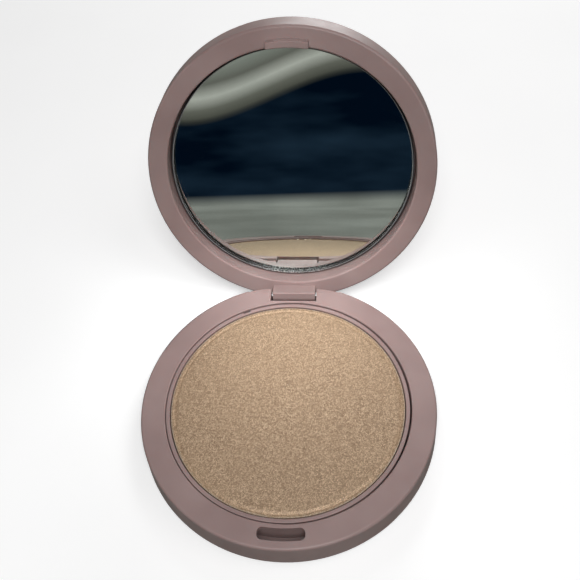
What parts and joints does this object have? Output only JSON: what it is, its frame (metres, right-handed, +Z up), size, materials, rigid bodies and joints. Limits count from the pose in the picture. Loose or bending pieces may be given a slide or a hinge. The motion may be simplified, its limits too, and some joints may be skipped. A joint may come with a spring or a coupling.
{
  "type": "pressed powder compact with mirror",
  "caption": "Round hinged compact for pressed powder: snap-shut lid with an inset mirror over a base that holds a metal pan of powder.",
  "frame": {"origin": "centre of the foot's face that the compact rests on, on the base's round axis", "axes": "+Z up through the base, +Y towards the hinge, +X to the user's right; stored with the lid open on its stop"},
  "size_m": [0.076, 0.1113, 0.0724],
  "materials": {
    "shell_plastic": "satin moulded plastic, dusty mauve",
    "tray_plastic": "satin moulded plastic, dusty mauve",
    "label_paper": "thin matt film label, blank",
    "foam_tape": "matt foam tape",
    "pan_metal": "drawn aluminium",
    "powder": "pressed shimmer powder, fine grain",
    "pin_steel": "drawn steel wire",
    "mirror_glass": "clear float glass",
    "silvering": "silvered back of the mirror"
  },
  "bodies": {
    "base": {"base_shell": "shell_plastic", "base_bottom_cover": "shell_plastic", "base_label": "label_paper", "pan_tray": "tray_plastic", "pan_adhesive_pad": "foam_tape", "powder_pan": "pan_metal", "powder_cake": "powder", "hinge_pin_left": "pin_steel", "hinge_pin_right": "pin_steel"},
    "lid": {"lid_shell": "shell_plastic", "lid_top_disc": "shell_plastic", "mirror_glass": "mirror_glass", "mirror_silvering": "silvering", "mirror_adhesive_pad": "foam_tape"}
  },
  "joints": [
    {"name": "lid_hinge", "type": "hinge", "parent": "base", "child": "lid", "pos_m": [0, 0.0352, 0.0066], "axis": [-1, 0, 0], "range_deg": [-113, 0]}
  ]
}
